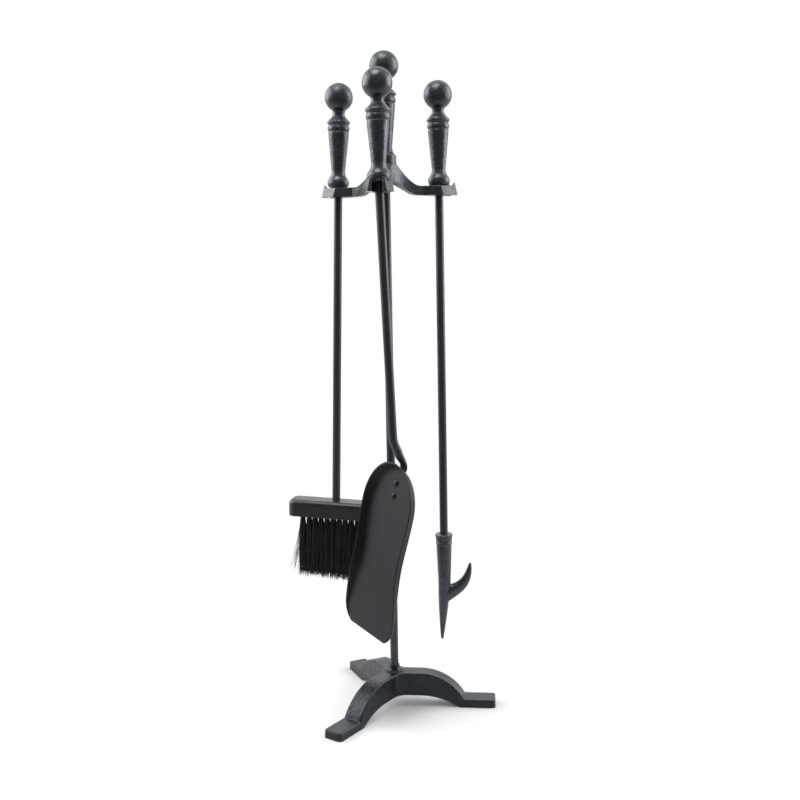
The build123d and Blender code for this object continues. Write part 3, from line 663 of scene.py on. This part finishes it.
def floor_finish(name):
    material, tree, shader = new_finish(name)
    tree.nodes.remove(shader)
    colour = tint(tree, grain(tree, FLOOR_GRAIN_SCALE, detail=2.0), FLOOR_DARK, FLOOR_LIGHT)
    matt = add_node(tree, "ShaderNodeBsdfDiffuse", {"Color": colour}).outputs[0]
    place = add_node(tree, "ShaderNodeTexCoord").outputs["Object"]
    forward = add_node(tree, "ShaderNodeSeparateXYZ", {0: place}).outputs[1]
    ray = add_node(tree, "ShaderNodeLightPath").outputs
    mirrored = spread(tree, forward, DIM_LEVEL, 1.0, DIM_TO, DIM_FROM)
    mirrored = maths(tree, "MULTIPLY", ray["Is Glossy Ray"], mirrored)
    seen = maths(tree, "MAXIMUM", ray["Is Camera Ray"], ray["Is Transmission Ray"])
    glow = maths(tree, "MAXIMUM", seen, mirrored)
    glow = add_node(tree, "ShaderNodeEmission", {"Strength": glow}).outputs[0]
    far = add_node(tree, "ShaderNodeVectorMath", {0: place}, operation="LENGTH").outputs["Value"]
    fade = {0: far, 1: SHADOW_TO, 2: GLOW_FROM, 3: NEAR_GLOW, 4: 1.0}
    fade = add_node(tree, "ShaderNodeMapRange", fade, interpolation_type="SMOOTHSTEP").outputs[0]
    both = add_node(tree, "ShaderNodeMixShader", {0: fade, 1: matt, 2: glow}).outputs[0]
    tree.links.new(both, tree.nodes["Material Output"].inputs["Surface"])
    return material


floor_mesh = bpy.data.meshes.new("floor")
corners = [(x * FLOOR_HALF, y * FLOOR_HALF, 0) for x, y in ((-1, -1), (1, -1), (1, 1), (-1, 1))]
floor_mesh.from_pydata(corners, [], [(0, 1, 2, 3)])
floor_mesh.materials.append(floor_finish("floor_pale"))
floor = bpy.data.objects.new("floor", floor_mesh)
bpy.context.scene.collection.objects.link(floor)
floor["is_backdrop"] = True
print("floor:", 2 * FLOOR_HALF, "m square")

# %% [markdown]
# Black satin paint is seen mostly by what it mirrors. The sides of the iron are pale and its
# fronts are dark, so reflections see a room that is white all round but dim on the side of -Y.
# The dimness follows the room's own direction, not the camera's, so it stays put in other views.
# Camera rays see plain white, and an even light from all sides fills what the lamps don't reach.

# %% World
FILL_LEVEL = 0.6
ROOM_DIM_AT = -0.8
ROOM_WHITE_AT = 0.15
ROOM_DIM_LEVEL = 0.12


def studio_world():
    world = bpy.data.worlds.new("studio")
    world.use_nodes = True
    tree = world.node_tree
    way = add_node(tree, "ShaderNodeTexCoord").outputs["Generated"]
    towards_back = add_node(tree, "ShaderNodeSeparateXYZ", {0: way}).outputs[1]
    room = {0: towards_back, 1: ROOM_DIM_AT, 2: ROOM_WHITE_AT, 3: ROOM_DIM_LEVEL, 4: 1.0}
    room = add_node(tree, "ShaderNodeMapRange", room, interpolation_type="SMOOTHSTEP").outputs[0]
    ray = add_node(tree, "ShaderNodeLightPath").outputs
    level = {0: ray["Is Glossy Ray"], 2: FILL_LEVEL, 3: room}
    level = add_node(tree, "ShaderNodeMix", level, data_type="FLOAT").outputs[0]
    seen = maths(tree, "MAXIMUM", ray["Is Camera Ray"], ray["Is Transmission Ray"])
    level = maths(tree, "MAXIMUM", level, seen)
    background = tree.nodes["Background"]
    background.inputs["Color"].default_value = (1, 1, 1, 1)
    tree.links.new(level, background.inputs["Strength"])
    return world


bpy.context.scene.world = studio_world()
print("world:", bpy.context.scene.world.name)

# %% [markdown]
# A large softbox stands at each side, a little behind the set, and draws the pale flanks of the
# handles and the tines. A third hangs overhead, and a fourth stands high behind, for the sheen on
# flat tops. Each is placed by its bearing and height as seen from the middle of the set, and
# faces it.

# %% Softboxes
MIDDLE = Vector((0.0, 0.0, 0.4))


def softbox(name, bearing, height, distance, size, power):
    lamp = bpy.data.lights.new(name, "AREA")
    lamp.shape = "RECTANGLE"
    lamp.size, lamp.size_y = size
    lamp.energy = power
    level = cos(radians(height))
    way = Vector((level * cos(radians(bearing)), level * sin(radians(bearing)), sin(radians(height))))
    holder = bpy.data.objects.new(name, lamp)
    holder.location = MIDDLE + distance * way
    holder.rotation_euler = (-way).to_track_quat("-Z", "Y").to_euler()
    bpy.context.scene.collection.objects.link(holder)
    print(name, [round(along, 2) for along in holder.location], power, "W")


softbox("left_softbox", bearing=174, height=26, distance=1.7, size=(1.7, 1.3), power=29.0)
softbox("right_softbox", bearing=15, height=18, distance=1.7, size=(1.2, 1.4), power=25.0)
softbox("overhead_softbox", bearing=-120, height=74, distance=1.7, size=(0.8, 0.8), power=16.0)
softbox("back_softbox", bearing=95, height=24, distance=1.8, size=(1.4, 0.6), power=3.0)

# %% [markdown]
# The camera stands a little right of the fork of the shovel, above the middle of the set, and
# looks slightly down. Its place, heading, pitch and roll come from fitting the balls, forks and
# feet to the view, so the frame needs no shift.

# %% Camera
CAMERA_AT = (0.13251, -1.15674, 0.52666)
HEADING, PITCH, ROLL = radians(5.67), radians(8.11), radians(-0.96)
camera = bpy.data.objects.new("camera", bpy.data.cameras.new("camera"))
camera.data.sensor_width = 36.0
camera.data.lens = 46.77
camera.data.clip_start = 0.05
camera.data.dof.use_dof = False
camera.matrix_world = (
    Matrix.Translation(CAMERA_AT)
    @ Matrix.Rotation(HEADING, 4, "Z")
    @ Matrix.Rotation(radians(90) - PITCH, 4, "X")
    @ Matrix.Rotation(ROLL, 4, "Z")
)
bpy.context.scene.collection.objects.link(camera)
bpy.context.scene.camera = camera
bpy.context.scene.view_settings.view_transform = "Standard"
print("camera lens", camera.data.lens, "mm")

# %% [markdown]
# Last, the box of the CAD model and the box of the finished model are printed side by side, to
# show how little the stray fibres add to the size of the set.

# %% Sizes
boxes = {"cad": cad_bounds, "visual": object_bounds()}
boxes = {name: [list(corner) for corner in box] for name, box in boxes.items()}
print("boxes:", boxes)
